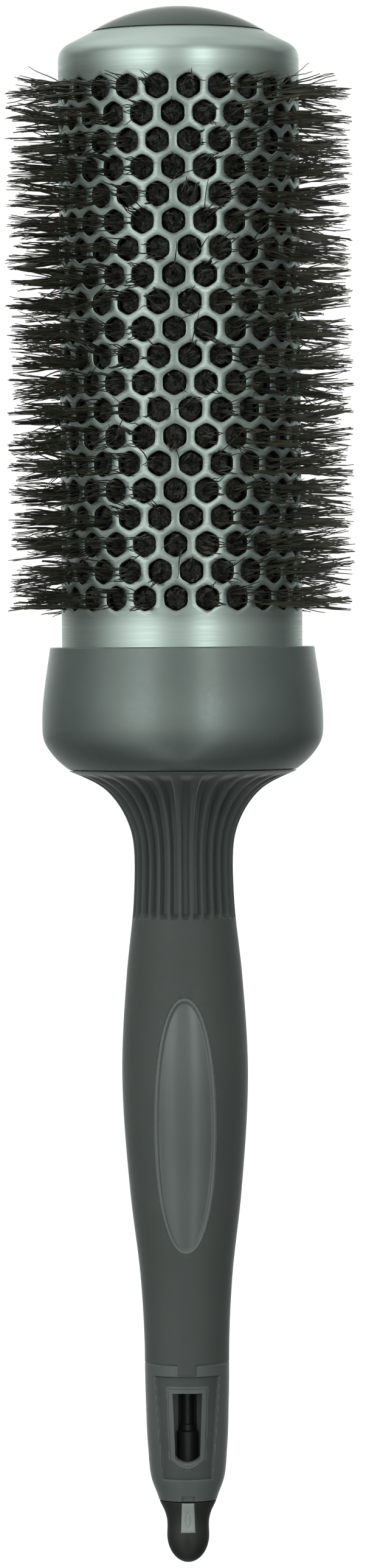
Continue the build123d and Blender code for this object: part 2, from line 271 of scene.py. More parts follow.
class Surface:
    """A principled material with helpers for procedural detail in object space (metres)."""

    def __init__(self, name, **constants):
        self.material = bpy.data.materials.new(name)
        self.material.use_nodes = True
        self.tree = self.material.node_tree
        self.shader = self.tree.nodes["Principled BSDF"]
        for socket, value in constants.items():
            self.shader.inputs[socket.replace("_", " ")].default_value = value
        self.place = self.tree.nodes.new("ShaderNodeTexCoord").outputs["Object"]

    def node(self, kind, **values):
        made = self.tree.nodes.new(kind)
        for key, value in values.items():
            setattr(made, key, value)
        return made

    def link(self, output, target):
        self.tree.links.new(output, target)

    def noise(self, scale, detail=3.0, stretch=(1, 1, 1)):
        """Noise with so many lumps a metre, squeezed along each axis by stretch."""
        mapping = self.node("ShaderNodeMapping")
        mapping.inputs["Scale"].default_value = stretch
        self.link(self.place, mapping.inputs["Vector"])
        noise = self.node("ShaderNodeTexNoise")
        noise.inputs["Scale"].default_value = scale
        noise.inputs["Detail"].default_value = detail
        self.link(mapping.outputs["Vector"], noise.inputs["Vector"])
        return noise.outputs["Fac"]

    def ranged(self, value, low, high, from_low=0.3, from_high=0.7):
        """A value moved into the range low to high."""
        node = self.node("ShaderNodeMapRange")
        node.inputs["From Min"].default_value = from_low
        node.inputs["From Max"].default_value = from_high
        node.inputs["To Min"].default_value = low
        node.inputs["To Max"].default_value = high
        self.link(value, node.inputs["Value"])
        return node.outputs["Result"]

    def colour(self, factor, first, second):
        """Base colour running from first to second with factor."""
        mix = self.node("ShaderNodeMix", data_type="RGBA")
        mix.inputs["A"].default_value = (*first, 1)
        mix.inputs["B"].default_value = (*second, 1)
        self.link(factor, mix.inputs["Factor"])
        self.link(mix.outputs["Result"], self.shader.inputs["Base Color"])

    def roughness(self, value):
        self.link(value, self.shader.inputs["Roughness"])

    def bump(self, height, strength, distance):
        """Relief from a height, distance in metres."""
        node = self.node("ShaderNodeBump")
        node.inputs["Strength"].default_value = strength
        node.inputs["Distance"].default_value = distance
        self.link(height, node.inputs["Height"])
        self.link(node.outputs["Normal"], self.shader.inputs["Normal"])


def tone(colour, share):
    """A colour made lighter or darker."""
    return tuple(c * share for c in colour)


def moulded(name, colour, rough, grain, relief, spread=0.06, **constants):
    """Moulded plastic or rubber: fine grain, slightly uneven gloss and colour."""
    surface = Surface(name, **constants)
    surface.colour(surface.ranged(surface.noise(70), 0, 1), tone(colour, 0.93), tone(colour, 1.07))
    surface.roughness(surface.ranged(surface.noise(900), rough - spread, rough + spread))
    surface.bump(surface.noise(grain, 2.0), 0.35, relief)
    return surface.material


def turned_metal(name, colour, rough, shaded_span=None, **constants):
    """Satin metal with fine rings of brushing; painted shade of the bristles darkens it between
    the two given heights.
    """
    surface = Surface(name, Metallic=1.0, **constants)
    rings = surface.noise(60, 4.0, stretch=(1, 1, 60))
    if shaded_span:
        split = surface.node("ShaderNodeSeparateXYZ")
        surface.link(surface.place, split.inputs["Vector"])
        height = split.outputs["Z"]
        rise = surface.ranged(height, 0, 1, (shaded_span[0] - 2.5) * MM, (shaded_span[0] - 0.5) * MM)
        fall = surface.ranged(height, 1, 0, (shaded_span[1] + 0.5) * MM, (shaded_span[1] + 2.5) * MM)
        bristle_shade = surface.node("ShaderNodeMath", operation="MULTIPLY")
        surface.link(rise, bristle_shade.inputs[0])
        surface.link(fall, bristle_shade.inputs[1])
        # painted shade: the metal among the bristles is given a darker colour
        surface.colour(bristle_shade.outputs["Value"], colour, tone(colour, 0.72))
    else:
        clouds = surface.ranged(surface.noise(120), 0, 1)
        surface.colour(clouds, tone(colour, 0.96), tone(colour, 1.04))
    surface.roughness(surface.ranged(rings, rough - 0.05, rough + 0.05))
    surface.bump(rings, 0.25, 0.00002)
    return surface.material


def filament_nylon(name, dark, light, rough):
    """Dark glossy nylon, each strand a little lighter or darker than the next."""
    surface = Surface(name, Roughness=rough, IOR=1.53)
    strands = surface.ranged(surface.noise(900, 1.0, stretch=(0.15, 0.15, 1)), 0.0, 1.0)
    surface.colour(strands, dark, light)
    surface.bump(surface.noise(2500, 1.0), 0.2, 0.00003)
    return surface.material


def packed_nylon(name, dark, light):
    """Bristle ends packed together: painted shade in the dark gaps between them, and lighter
    flecks.
    """
    surface = Surface(name, Roughness=0.6)
    flecks = surface.noise(2600, 2.0)
    surface.colour(surface.ranged(flecks, 0, 1, 0.42, 0.68), dark, light)
    surface.bump(flecks, 0.8, 0.0002)
    return surface.material


SOFT = {"Sheen_Weight": 0.7, "Sheen_Roughness": 0.3}
# the punched stretch of the barrel, painted darker than its plain ends as shade from the bristles
PUNCHED = (81.0, 176.0)

METAL = turned_metal(
    "turned_aluminium", (0.54, 0.63, 0.59), 0.27, shaded_span=PUNCHED, Anisotropic=0.2,
)
DOME = moulded("dome_gloss", (0.045, 0.070, 0.050), 0.14, 1500, 0.000004, 0.04, IOR=1.4)
COLLAR = moulded(
    "collar_satin", (0.205, 0.24, 0.225), 0.25, 1500, 0.000002, 0.03, Metallic=0.58,
)
RUBBER = moulded("soft_touch", (0.079, 0.090, 0.084), 0.55, 4000, 0.00003, **SOFT)
INLAY = moulded("inlay_satin", (0.135, 0.152, 0.146), 0.19, 3000, 0.000003, Coat_Weight=0.35)
# the rim's lighter colour is a painted highlight along the raised rim
INLAY_RIM_HIGHLIGHT = moulded("inlay_rim_painted_highlight", (0.165, 0.185, 0.178), 0.3, 3000, 0.000003)
FERRULE = moulded("ferrule_grey", (0.118, 0.134, 0.126), 0.36, 3500, 0.00002, **SOFT)
# lighter colour of the raised window lip: painted highlight on its edge
LIP_HIGHLIGHT = moulded("window_lip_painted_highlight", (0.132, 0.150, 0.142), 0.36, 3500, 0.00002)
# darker colour of the sunk panel: painted shade in the recess, with a matt roughness of its own
PANEL_MATT_SHADE = moulded("panel_matt_painted_shade", (0.076, 0.087, 0.082), 0.5, 3500, 0.00002)
KNOB = moulded("pick_black", (0.024, 0.025, 0.023), 0.42, 3500, 0.00002)
TAB = moulded("tab_grey", (0.38, 0.42, 0.395), 0.25, 2500, 0.00001)
HIDDEN = moulded("hub_black", (0.03, 0.03, 0.03), 0.5, 3000, 0.00002)
WIRE = turned_metal("drawn_wire", (0.5, 0.5, 0.49), 0.35)
# the near-black of the packing is painted shade between the bristle ends
ROOTS = packed_nylon("bristle_packing", (0.003, 0.004, 0.003), (0.070, 0.072, 0.060))
NYLON = filament_nylon("bristle_nylon", (0.019, 0.019, 0.013), (0.098, 0.093, 0.062), 0.34)


def dress(piece, *materials):
    """Gives the piece these materials and no other."""
    piece.data.materials.clear()
    for material in materials:
        piece.data.materials.append(material)


# --- barrel tube: hexagonal vents in staggered rows, spun-in top --------------------------------

BARREL_LOW, BARREL_HIGH = span("barrel_tube")
BARREL_R = BARREL_HIGH.x
BARREL_WALL = 0.85
VENTS_PER_ROW = 24
VENT_FLATS = 4.1
VENT_TURN = 4.7
VENT_STEP = 360 / VENTS_PER_ROW
VENT_ROUND = 0.07
COS_30 = 0.866
TAN_30 = 0.577
PLAIN_GAP = 0.8
SIDE_STEPS = 4
SHOULDER_ROUND = 4.55
SHOULDER_TILT = math.radians(27)
SHOULDER_SLOPE = math.tan(SHOULDER_TILT)
MOUTH_R = 15.2
ROW_HEIGHTS = [(span(n)[0].z + span(n)[1].z) / 2 for n in ROWS]
ROW_PITCH = (ROW_HEIGHTS[0] - ROW_HEIGHTS[-1]) / (len(ROWS) - 1)


def row_start(row):
    """Angle of a row's first vent, rows counted from 0 at the dome."""
    return VENT_TURN + VENT_STEP / 2 * (row % 2)


def hexagon(half_width, point, side):
    """Corners of an upright hexagon in (across, up), from the top round to the right."""
    return [
        (0, point),
        (half_width, side),
        (half_width, -side),
        (0, -point),
        (-half_width, -side),
        (-half_width, side),
    ]


def along_sides(corners, roundness=0.0):
    """Points along a polygon's sides, its corners pulled in by a share of their reach."""
    limit = (1 - roundness) * math.hypot(*corners[0])
    points = []
    for i, c in enumerate(corners):
        n = corners[(i + 1) % len(corners)]
        for k in range(SIDE_STEPS):
            t = k / SIDE_STEPS
            x, y = c[0] + (n[0] - c[0]) * t, c[1] + (n[1] - c[1]) * t
            pull = min(1.0, limit / math.hypot(x, y)) if roundness else 1.0
            points.append((x * pull, y * pull))
    return points


def barrel():
    """The perforated tube as one closed mesh."""
    pitch = 2 * math.pi * BARREL_R / VENTS_PER_ROW
    top_point = (pitch ** 2 / 4 + ROW_PITCH ** 2) / (2 * ROW_PITCH)
    side_point = (ROW_PITCH ** 2 - pitch ** 2 / 4) / (2 * ROW_PITCH)
    cell = along_sides(hexagon(pitch / 2, top_point, side_point))
    inner_r = BARREL_R - BARREL_WALL

    def vent(flats):
        across = flats / 2
        return along_sides(hexagon(across, across / COS_30, across * TAN_30), VENT_ROUND)

    # from the outside in: the wall, the vent's softened edge, the vent, the wall's inside
    rings = [
        (cell, BARREL_R),
        (vent(VENT_FLATS + 0.34), BARREL_R),
        (vent(VENT_FLATS + 0.12), BARREL_R - 0.05),
        (vent(VENT_FLATS), BARREL_R - 0.18),
        (vent(VENT_FLATS), inner_r),
        (cell, inner_r),
    ]
    points, faces, known = [], [], {}

    def vertex(r, angle, z):
        key = (round(r, 3), round(angle % 360, 3) % 360, round(z, 3))
        if key not in known:
            known[key] = len(points)
            points.append(polar(r, angle, z))
        return known[key]

    for row, height in enumerate(ROW_HEIGHTS):
        for k in range(VENTS_PER_ROW):
            middle = row_start(row) + k * VENT_STEP
            loops = []
            for shape, r in rings:
                turn = 360 / (2 * math.pi * BARREL_R)
                loops.append([vertex(r, middle + x * turn, height + y) for x, y in shape])
            for outer, inner in zip(loops, loops[1:]):
                for i in range(len(outer)):
                    n = (i + 1) % len(outer)
                    faces.append((outer[i], outer[n], inner[n], inner[i]))

    def band(row, sign, outline):
        """Joins the zigzag edge of the first or last row to a turned outline."""
        steps = VENTS_PER_ROW * 2 * SIDE_STEPS
        loops = [[] for _ in range(len(outline) + 2)]
        for i in range(steps):
            angle = row_start(row) + i * 360 / steps
            off = abs((i / (2 * SIDE_STEPS) + 0.5) % 1 - 0.5) * 2
            edge = ROW_HEIGHTS[row] + sign * (top_point - (top_point - side_point) * off)
            loops[0].append(vertex(BARREL_R, angle, edge))
            for loop, (r, z) in zip(loops[1:], outline):
                loop.append(vertex(r, angle, z))
            loops[-1].append(vertex(inner_r, angle, edge))
        for low, high in zip(loops, loops[1:]):
            for i in range(steps):
                n = (i + 1) % steps
                quad = (low[i], low[n], high[n], high[i])
                faces.append(quad if sign > 0 else quad[::-1])

    top = ROW_HEIGHTS[0] + top_point + PLAIN_GAP
    corner_z = BARREL_HIGH.z - (BARREL_R - MOUTH_R) * SHOULDER_SLOPE
    drop = BARREL_WALL / math.cos(SHOULDER_TILT)
    inner_corner_z = corner_z + BARREL_WALL * SHOULDER_SLOPE - drop
    mouth, under = (MOUTH_R, BARREL_HIGH.z), (MOUTH_R, BARREL_HIGH.z - drop)
    outside, inside = (BARREL_R, corner_z), (inner_r, inner_corner_z)
    outline = [(BARREL_R, top)]
    outline += arc_corner((BARREL_R, top), outside, mouth, SHOULDER_ROUND, 14)
    outline += arc_corner(outside, mouth, under, 0.15, 3)
    outline += [under]
    outline += arc_corner(under, inside, (inner_r, top), SHOULDER_ROUND - BARREL_WALL, 10)
    outline += [(inner_r, top)]
    band(0, 1, outline)
    low = ROW_HEIGHTS[-1] - top_point - PLAIN_GAP
    foot = BARREL_LOW.z
    band(len(ROWS) - 1, -1, [(BARREL_R, low), (BARREL_R, foot), (inner_r, foot), (inner_r, low)])
    piece = mesh_piece("barrel", points, faces, "brush", ["barrel_tube"], 30)
    dress(piece, METAL)


barrel()


# --- end cap ------------------------------------------------------------------------------------

CAP_LOW, CAP_HIGH = span("end_cap")
CAP_LIP = 0.04
CAP_THICK = 2.4
SKIRT_R = MOUTH_R - 0.1
SKIRT_WALL = 1.8
SKIRT_DEPTH = 3.0
BOSS_R = 4.5
BOSS_BORE_R = 2.25
BOSS_BORE_DEPTH = 6.9


def dome_cap():
    """The glossy dome, its lip on the barrel's mouth and its skirt and boss below."""
    lip_r = CAP_HIGH.x
    lip_z = BARREL_HIGH.z
    rise = CAP_HIGH.z - lip_z - CAP_LIP
    dome_r = (lip_r ** 2 + rise ** 2) / (2 * rise)
    centre = CAP_HIGH.z - dome_r
    full = math.asin(lip_r / dome_r)
    dome = []
    for i in range(33):
        a = full * i / 32
        dome.append((dome_r * math.sin(a), centre + dome_r * math.cos(a)))
    below = rounded([
        (lip_r, lip_z + CAP_LIP),
        (lip_r, lip_z),
        (SKIRT_R, lip_z),
        (SKIRT_R, lip_z - SKIRT_DEPTH),
        (SKIRT_R - SKIRT_WALL, lip_z - SKIRT_DEPTH),
        (SKIRT_R - SKIRT_WALL, lip_z),
        (BOSS_R, CAP_HIGH.z - CAP_THICK),
        (BOSS_R, CAP_LOW.z, 0.3),
        (BOSS_BORE_R, CAP_LOW.z),
        (BOSS_BORE_R, CAP_LOW.z + BOSS_BORE_DEPTH),
        (0.0, CAP_LOW.z + BOSS_BORE_DEPTH),
    ])
    outline = dome[:-1] + below
    piece = lathe("end_dome", outline, "brush", "dome_plastic", ["end_cap"], 160, closed=False)
    dress(piece, DOME)


dome_cap()


# --- collar -------------------------------------------------------------------------------------

COLLAR_LOW, COLLAR_HIGH = span("collar")
COLLAR_TOP_R = 23.7
COLLAR_BORE_R = 10.0
BARREL_FIT_R = BARREL_R + 0.12


def collar_cup():
    """The satin cup round the barrel's foot."""
    widest = COLLAR_HIGH.x
    foot, top = COLLAR_LOW.z, COLLAR_HIGH.z
    bowl = curve_through(
        [(20.6, foot + 0.2), (23.2, foot + 2.6), (24.8, foot + 5.2), (widest, foot + 8.4)],
        (1, 0.75), (0, 1), 8,
    )
    side = curve_through([(widest, foot + 8.4), (COLLAR_TOP_R, top - 0.5)], (0, 1), (-0.14, 1), 12)
    rim = rounded([
        (COLLAR_TOP_R, top - 0.5),
        (COLLAR_TOP_R - 0.06, top, 0.35),
        (BARREL_FIT_R, top, 0.3),
        (BARREL_FIT_R, BARREL_LOW.z),
        (COLLAR_BORE_R, BARREL_LOW.z),
        (COLLAR_BORE_R, foot),
        (20.2, foot, 0.3),
    ])
    outline = bowl[:-1] + side[:-1] + rim
    piece = lathe("collar_cup", outline, "brush", "collar_plastic", ["collar"], 192)
    dress(piece, COLLAR)


collar_cup()


# --- grip sleeve --------------------------------------------------------------------------------

SLEEVE_LOW, SLEEVE_HIGH = span("grip_sleeve")
OVAL_LOW, OVAL_HIGH = span("oval_inlay")
OVAL_HALF_WIDTH = OVAL_HIGH.x
OVAL_HALF_LENGTH = (OVAL_HIGH.z - OVAL_LOW.z) / 2
OVAL_Z = (OVAL_HIGH.z + OVAL_LOW.z) / 2
OVAL_POWER = 2.15
RIM_BANDS = 5
FERRULE_LOW, FERRULE_HIGH = span("end_ferrule")
SLEEVE_FOOT_Z = -53.0
SLEEVE_FOOT_R = 7.57
SLEEVE_RIM_R = 20.4
GRIP_R = 11.27
NECK_R = 8.82
NECK_Z = 36.0
FLUTES = 28
FLUTE_TURN = -88.0
FLUTE_FOOT_Z = 26.9
FLUTE_DEPTH = 1.05
OVAL_SINK = 1.3
GRIP_POINTS = [
    (SLEEVE_FOOT_R, SLEEVE_FOOT_Z), (8.22, -38.1), (9.96, -22.8), (GRIP_R, 0.0), (10.34, 16.4),
    (9.04, 29.4), (NECK_R, NECK_Z),
]
FLARE_POINTS = [(NECK_R, NECK_Z), (9.58, 42.5), (13.5, 49.0), (SLEEVE_RIM_R, SLEEVE_HIGH.z)]
GRIP_LINE = curve_through(GRIP_POINTS, (0, 1), (0, 1), 26)
FLARE_LINE = curve_through(FLARE_POINTS, (0, 1), (1, 0.45), 26)


def line_radius(line, z):
    """Radius of a side line at height z."""
    for (r0, z0), (r1, z1) in zip(line, line[1:]):
        if z0 <= z <= z1:
            return r0 + (r1 - r0) * (z - z0) / (z1 - z0)
    return line[0][0] if z < line[0][1] else line[-1][0]


def oval_share(x, z):
    """0 at the oval's centre, 1 on its edge; the oval is a little fuller than an ellipse."""
    across, along = abs(x / OVAL_HALF_WIDTH), abs((z - OVAL_Z) / OVAL_HALF_LENGTH)
    return (across ** OVAL_POWER + along ** OVAL_POWER) ** (1 / OVAL_POWER)


def sleeve():
    """The rubber sleeve: fluted flare, recess under the oval inlay."""
    # from the flare's rim down the inside, which follows the handle core, and back out
    inside = rounded([
        FLARE_LINE[-2],
        (SLEEVE_RIM_R, SLEEVE_HIGH.z, 0.15),
        (15.3, SLEEVE_HIGH.z),
        (15.3, SLEEVE_HIGH.z - 1.2),
        (8.6, 48.6),
        (7.0, 43.0),
        (7.0, 28.0),
        (8.4, 10.0),
        (8.4, -10.0),
        (6.1, -33.0),
        (6.1, SLEEVE_FOOT_Z),
        (SLEEVE_FOOT_R, SLEEVE_FOOT_Z, 0.06),
        GRIP_LINE[1],
    ])
    outside = GRIP_LINE[1:-1] + FLARE_LINE[:-1]
    outline = outside + inside[1:-1]

    def radius_at(r, z, angle, index):
        if index >= len(outside):
            return r
        depth = FLUTE_DEPTH * smooth_step(z, FLUTE_FOOT_Z - 0.2, FLUTE_FOOT_Z + 0.2)
        depth *= 1 + 0.8 * smooth_step(r, 9.2, 12.5)
        depth *= smooth_step(r, 19.6, 16.5)
        turn = ((angle - FLUTE_TURN) * FLUTES / 360) % 1
        flute = depth * smooth_step(abs(turn - 0.5) * 2, 0.2, 0.65)
        x, y = r * math.cos(math.radians(angle)), r * math.sin(math.radians(angle))
        sink = OVAL_SINK * smooth_step(oval_share(x, z), 1.0, 0.94) if y < 0 else 0.0
        return r - flute - sink

    piece = lathe(
        "grip", outline, "brush", "grip_rubber", ["grip_sleeve"], FLUTES * 16,
        radius_at=radius_at, turn=FLUTE_TURN,
    )
    dress(piece, RUBBER)


sleeve()


def oval():
    """The oval inlay: a raised rim round a shallow dish, following the grip's belly."""
    steps = 120
    # inset from the edge in millimetres, share of what is left inside it, lift off the grip
    section = [
        (0.0, 1.0, -1.2), (0.0, 1.0, -0.06), (0.1, 1.0, 0.1), (0.32, 1.0, 0.17),
        (0.55, 1.0, 0.12), (0.7, 1.0, -0.06), (0.82, 1.0, -0.26), (0.96, 1.0, -0.36),
        (1.2, 1.0, -0.34), (1.2, 0.9, -0.27), (1.2, 0.75, -0.2), (1.2, 0.5, -0.14),
        (1.2, 0.25, -0.12),
    ]
    points, faces = [], []

    def add(x, z, lift):
        points.append(on_front(x, line_radius(GRIP_LINE, z) + lift, z))

    def signed_power(value):
        return math.copysign(abs(value) ** (2 / OVAL_POWER), value)

    for inset, share, lift in section:
        for k in range(steps):
            a = 2 * math.pi * k / steps
            x = (OVAL_HALF_WIDTH - inset) * share * signed_power(math.sin(a))
            z = OVAL_Z + (OVAL_HALF_LENGTH - inset) * share * signed_power(math.cos(a))
            add(x, z, lift)
    for low in range(len(section) - 1):
        for k in range(steps):
            n = (k + 1) % steps
            a, b = low * steps, (low + 1) * steps
            faces.append((a + k, a + n, b + n, b + k))
    add(0, OVAL_Z, -0.12)
    centre = len(points) - 1
    last = (len(section) - 1) * steps
    for k in range(steps):
        faces.append((last + k, last + (k + 1) % steps, centre))
    points.append((0, 1.6 - line_radius(GRIP_LINE, OVAL_Z), OVAL_Z))
    for k in range(steps):
        faces.append(((k + 1) % steps, k, len(points) - 1))
    piece = mesh_piece("oval_pad", points, faces, "brush", ["oval_inlay"], 60)
    dress(piece, INLAY, INLAY_RIM_HIGHLIGHT)
    # the rim bands get the lighter colour: painted highlight on the raised rim
    for face in piece.data.polygons[:RIM_BANDS * steps]:
        face.material_index = 1


oval()


# --- end ferrule --------------------------------------------------------------------------------

FERRULE_END_R = 5.2
FERRULE_TOP_R = 7.57
FERRULE_POINTS = [
    (FERRULE_END_R, FERRULE_LOW.z), (6.5, -74.0), (7.1, -68.5), (7.45, -60.0),
    (FERRULE_TOP_R, SLEEVE_FOOT_Z),
]
FERRULE_LINE = curve_through(FERRULE_POINTS, (0.25, 1), (0, 1), 30)
PANEL = {"top": -55.2, "foot": -73.6, "top_half": 5.8, "foot_half": 4.45, "depth": 0.42}
WINDOW = {
    "top": -58.1, "foot": -70.9, "top_half": 2.68, "foot_half": 2.25, "bow": 0.9, "lip": 0.85,
}
NOTCH = {"top": -76.7, "foot": -78.5, "half": 1.15}
TONGUE_HALF = 1.8
BORE_R = 1.97
PLUG_R = 4.2
INSIDE_R = 4.5
CUT_FRONT = -9.0
SEAM = 0.02
EDGE = 0.22


def taper(shape, z):
    """Half width at height z of a shape that narrows towards its foot."""
    share = (z - shape["foot"]) / (shape["top"] - shape["foot"])
    return shape["foot_half"] + (shape["top_half"] - shape["foot_half"]) * share


def inside_of(shape, x, z, grow=0.0):
    """How far inside a tapered shape a point lies, in millimetres, negative outside."""
    foot = shape["foot"] + shape.get("bow", 0.0) * (x / shape["foot_half"]) ** 2
    side = taper(shape, z) + grow - abs(x)
    return min(side, shape["top"] + grow - z, z - foot + grow)


def ferrule():
    """The hard end piece with its sunk panel, raised window lip, window, notch and bore."""
    outline = FERRULE_LINE[1:-1] + rounded([
        (FERRULE_TOP_R, SLEEVE_FOOT_Z - SEAM, 0.06),
        (PLUG_R, SLEEVE_FOOT_Z - SEAM),
        (PLUG_R, FERRULE_HIGH.z),
        (0.0, FERRULE_HIGH.z),
    ])[1:]
    outline = [(0.0, FERRULE_LOW.z)] + rounded([
        (0.0, FERRULE_LOW.z), (FERRULE_END_R, FERRULE_LOW.z, 0.2), FERRULE_LINE[1],
    ])[1:-1] + outline

    def radius_at(r, z, angle, index):
        x, y = r * math.cos(math.radians(angle)), r * math.sin(math.radians(angle))
        if y > 0 or r < INSIDE_R:
            return r
        panel = smooth_step(inside_of(PANEL, x, z), -EDGE / 2, EDGE / 2)
        lip = smooth_step(inside_of(WINDOW, x, z, WINDOW["lip"]), -EDGE / 2, EDGE / 2)
        return r - PANEL["depth"] * panel * (1 - lip)

    piece = lathe(
        "ferrule", outline, "brush", "ferrule_plastic", ["end_ferrule"], 300,
        closed=False, radius_at=radius_at,
    )
    dress(piece, FERRULE, PANEL_MATT_SHADE, LIP_HIGHLIGHT)
    # sunk-panel faces get the painted shade, window-lip faces the painted highlight
    for face in piece.data.polygons:
        x, y, z = face.center / MM
        if y < -INSIDE_R and inside_of(PANEL, x, z) > 0:
            face.material_index = 2 if inside_of(WINDOW, x, z, WINDOW["lip"]) > -EDGE else 1

    edge = []
    for i in range(9):
        x = WINDOW["foot_half"] * (1 - i / 4)
        edge.append((x, WINDOW["foot"] + WINDOW["bow"] * (x / WINDOW["foot_half"]) ** 2))
    edge += [(-WINDOW["top_half"], WINDOW["top"]), (WINDOW["top_half"], WINDOW["top"])]
    cut_prism(piece, edge, CUT_FRONT, 1.0)
    half = NOTCH["half"]
    notch = [(half, NOTCH["top"]), (-half, NOTCH["top"]), (-half, NOTCH["foot"]),
             (half, NOTCH["foot"])]
    cut_prism(piece, notch, CUT_FRONT, -4.7)
    bore = lathe("bore_cutter", [
        (0.0, FERRULE_LOW.z - 1), (BORE_R, FERRULE_LOW.z - 1),
        (BORE_R, FERRULE_HIGH.z + 1), (0.0, FERRULE_HIGH.z + 1),
    ], None, None, segments=48, closed=False)
    cut(piece, bore)


ferrule()


def tongue():
    """The sleeve's small tongue at the top of the ferrule's front."""
    up = 8

    def place(u, v, lift):
        z = PANEL["top"] + (SLEEVE_FOOT_Z + 0.3 - PANEL["top"]) * v
        x = TONGUE_HALF * (2 * u - 1)
        edge = max(abs(2 * u - 1), 1 - v * up / 1.5)
        rounding = 0.14 * edge ** 6 if lift > 0 else 0
        return on_front(x, line_radius(FERRULE_LINE, z) + lift - rounding, z)

    points, faces = bent_plate(12, up, (0.12, -0.9), place)
    piece = mesh_piece("grip_tongue", points, faces, "brush", (), 40)
    dress(piece, RUBBER)


tongue()


# --- pick ---------------------------------------------------------------------------------------

PICK_LOW, PICK_HIGH = span("pick")
KNOB_R = 3.78
KNOB_ROUND = 5.0
KNOB_TOP_Z = -77.85
STEM_R = 1.9
STEM_TOP_Z = -65.5
BEAD_R = 1.35
PIN_R = 1.05
KNOB_RIM_R = 5.1
KNOB_WAIST = [(3.86, -81.0), (4.5, -79.2)]
TAB_FOOT_HALF = 1.3
TAB_TOP_HALF = 1.1


def knob_line():
    """The knob's side from its end up to the rim."""
    line = []
    for i in range(24):
        a = math.pi / 2 * i / 24
        line.append((KNOB_R * math.sin(a), PICK_LOW.z + KNOB_ROUND * (1 - math.cos(a))))
    waist = [(KNOB_R, PICK_LOW.z + KNOB_ROUND)] + KNOB_WAIST
    return line + curve_through(waist, (0, 1), (0.55, 1), 8)


KNOB_LINE = knob_line()


def pick():
    """Knob, stem, bead and pin."""
    pin_top = [(PIN_R * math.cos(a), PICK_HIGH.z - PIN_R + PIN_R * math.sin(a))
               for a in (math.radians(15 * i) for i in range(6))]
    upper = rounded([
        KNOB_LINE[-1],
        (KNOB_RIM_R, KNOB_TOP_Z - 0.1, 0.15),
        (KNOB_RIM_R - 0.2, KNOB_TOP_Z),
        (STEM_R, KNOB_TOP_Z),
        (STEM_R, STEM_TOP_Z, 0.25),
        (BEAD_R, STEM_TOP_Z + 0.1, 0.1),
        (BEAD_R, STEM_TOP_Z + 1.2, 0.25),
        (PIN_R, STEM_TOP_Z + 1.3),
    ])
    outline = KNOB_LINE + upper[1:] + pin_top + [(0.0, PICK_HIGH.z)]
    piece = lathe("pick_knob", outline, "pick", "pick_plastic", ["pick"], 96, closed=False)
    dress(piece, KNOB)


pick()


def tab():
    """The light tab let into the knob's front, with an oval groove on it."""
    low, high = span("pick_tab")

    def place(u, v, lift):
        z = low.z + (high.z - low.z) * v
        side = 2 * u - 1
        r = line_radius(KNOB_LINE + [(KNOB_RIM_R, KNOB_TOP_Z)], z) + lift
        if lift > 0:
            edge = max(abs(side), abs(2 * v - 1))
            groove = math.hypot(side / 0.36, (2 * v - 0.8) / 0.52)
            r -= 0.1 * edge ** 14 + 0.11 * math.exp(-((groove - 1) / 0.16) ** 2)
        return on_front((TAB_FOOT_HALF + (TAB_TOP_HALF - TAB_FOOT_HALF) * v) * side, r, z)

    points, faces = bent_plate(40, 80, (0.14, -0.6), place)
    piece = mesh_piece("pick_inset", points, faces, "pick", ["pick_tab"], 40)
    dress(piece, TAB)


tab()


# --- bristles -----------------------------------------------------------------------------------

ROOT_R = 2.4
TIP_R = span(ROWS[1])[1].x
VENT_R = BARREL_R - BARREL_WALL
FILAMENT_R = 0.15
PER_TUFT = 14
OUTER_STEPS = 6
ROWS_A_PIECE = 3
VENT_REACH = 1.75
WISP_REACH = 2.0
STRAY_SHARE = 0.07
STRAY_LENGTH = 7.5
SHORT_SHARE = 0.12
SHORT_BY = 2.2
draw = random.Random(7)


def strand(points, faces, path, radius):
    """A tapering three-sided strand along a list of (centre, side way, up way)."""
    start = len(points)
    for i, (centre, side, up) in enumerate(path):
        r = radius * (1 - 0.55 * (i / (len(path) - 1)) ** 2)
        for k in range(3):
            a = 2 * math.pi * k / 3
            points.append(tuple(centre + side * (r * math.cos(a)) + up * (r * math.sin(a))))
    for i in range(len(path) - 1):
        for k in range(3):
            n = (k + 1) % 3
            a, b = start + 3 * i, start + 3 * (i + 1)
            faces.append((a + k, a + n, b + n, b + k))
    faces.append((start + 2, start + 1, start))
    end = start + 3 * (len(path) - 1)
    faces.append((end, end + 1, end + 2))


def outward(angle):
    """Unit vectors outward and sideways at an angle round the axis."""
    a = math.radians(angle)
    return Vector((math.cos(a), math.sin(a), 0)), Vector((-math.sin(a), math.cos(a), 0))


def root_mass(points, faces, angle, height):
    """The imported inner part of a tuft, from the wires to just under its vent."""
    sides = 12
    start = len(points)
    out, side = outward(angle)
    foot = Vector((0, 0, height))
    # distance from the axis, half width and half height of each section
    sections = (
        (ROOT_R, 0.3, 2.3), (8.0, 0.95, 2.35), (14.0, 1.7, 2.35), (VENT_R - 2.2, 2.2, 2.3),
        (VENT_R - 0.7, 1.95, 2.1), (VENT_R - 0.4, 1.3, 1.5), (VENT_R - 0.3, 0.6, 0.7),
    )
    for r, across, tall in sections:
        for k in range(sides):
            b = 2 * math.pi * k / sides
            rough = draw.uniform(0.9, 1.06)
            spot = out * (r + draw.uniform(-0.35, 0.35)) + foot
            spot += side * (across * rough * math.cos(b))
            spot += Vector((0, 0, tall * rough * math.sin(b)))
            points.append(tuple(spot))
    for i in range(len(sections) - 1):
        for k in range(sides):
            n = (k + 1) % sides
            a, b = start + sides * i, start + sides * (i + 1)
            faces.append((a + k, a + n, b + n, b + k))
    faces.append(tuple(start + k for k in reversed(range(sides))))
    crown = start + sides * (len(sections) - 1)
    points.append(tuple(out * (VENT_R - 0.5) + foot))
    faces.extend((crown + k, crown + (k + 1) % sides, len(points) - 1) for k in range(sides))


